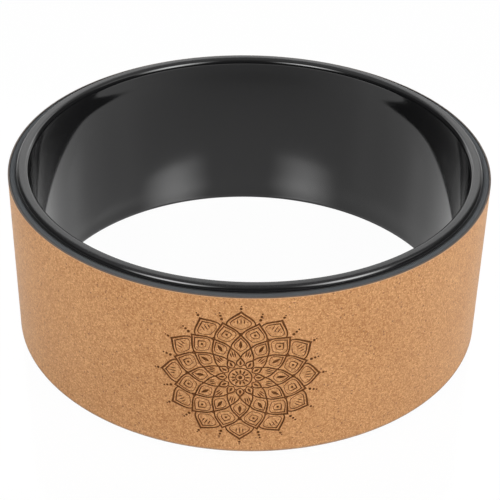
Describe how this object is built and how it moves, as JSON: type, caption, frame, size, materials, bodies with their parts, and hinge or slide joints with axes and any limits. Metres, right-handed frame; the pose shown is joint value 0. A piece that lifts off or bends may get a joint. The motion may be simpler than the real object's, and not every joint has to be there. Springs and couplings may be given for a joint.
{
  "type": "yoga wheel",
  "caption": "Wide open hoop of glossy black plastic wrapped in a thin foam pad and a printed cork cover, rolled under the back or feet to support stretches and balances.",
  "frame": {"origin": "centre of the wheel's axis on the plane of its lower rim, on which it lies", "axes": "+Z along the wheel's axis, up from the rim that it lies on; -Y is the printed front, +Y the side with the seams of the strips"},
  "size_m": [0.33, 0.33, 0.127],
  "materials": {
    "black_plastic": "glossy black ABS with a smooth inner wall",
    "grey_foam": "matte closed-cell EVA foam, cut edge",
    "cork": "fine-grained agglomerated cork, uncoated, with a dark brown print",
    "adhesive": "dull, dark film of dried contact adhesive"
  },
  "bodies": {
    "root": {"hoop": "black_plastic", "pad_adhesive": "adhesive", "foam_pad": "grey_foam", "cork_adhesive": "adhesive", "cork_cover": "cork"}
  },
  "joints": []
}
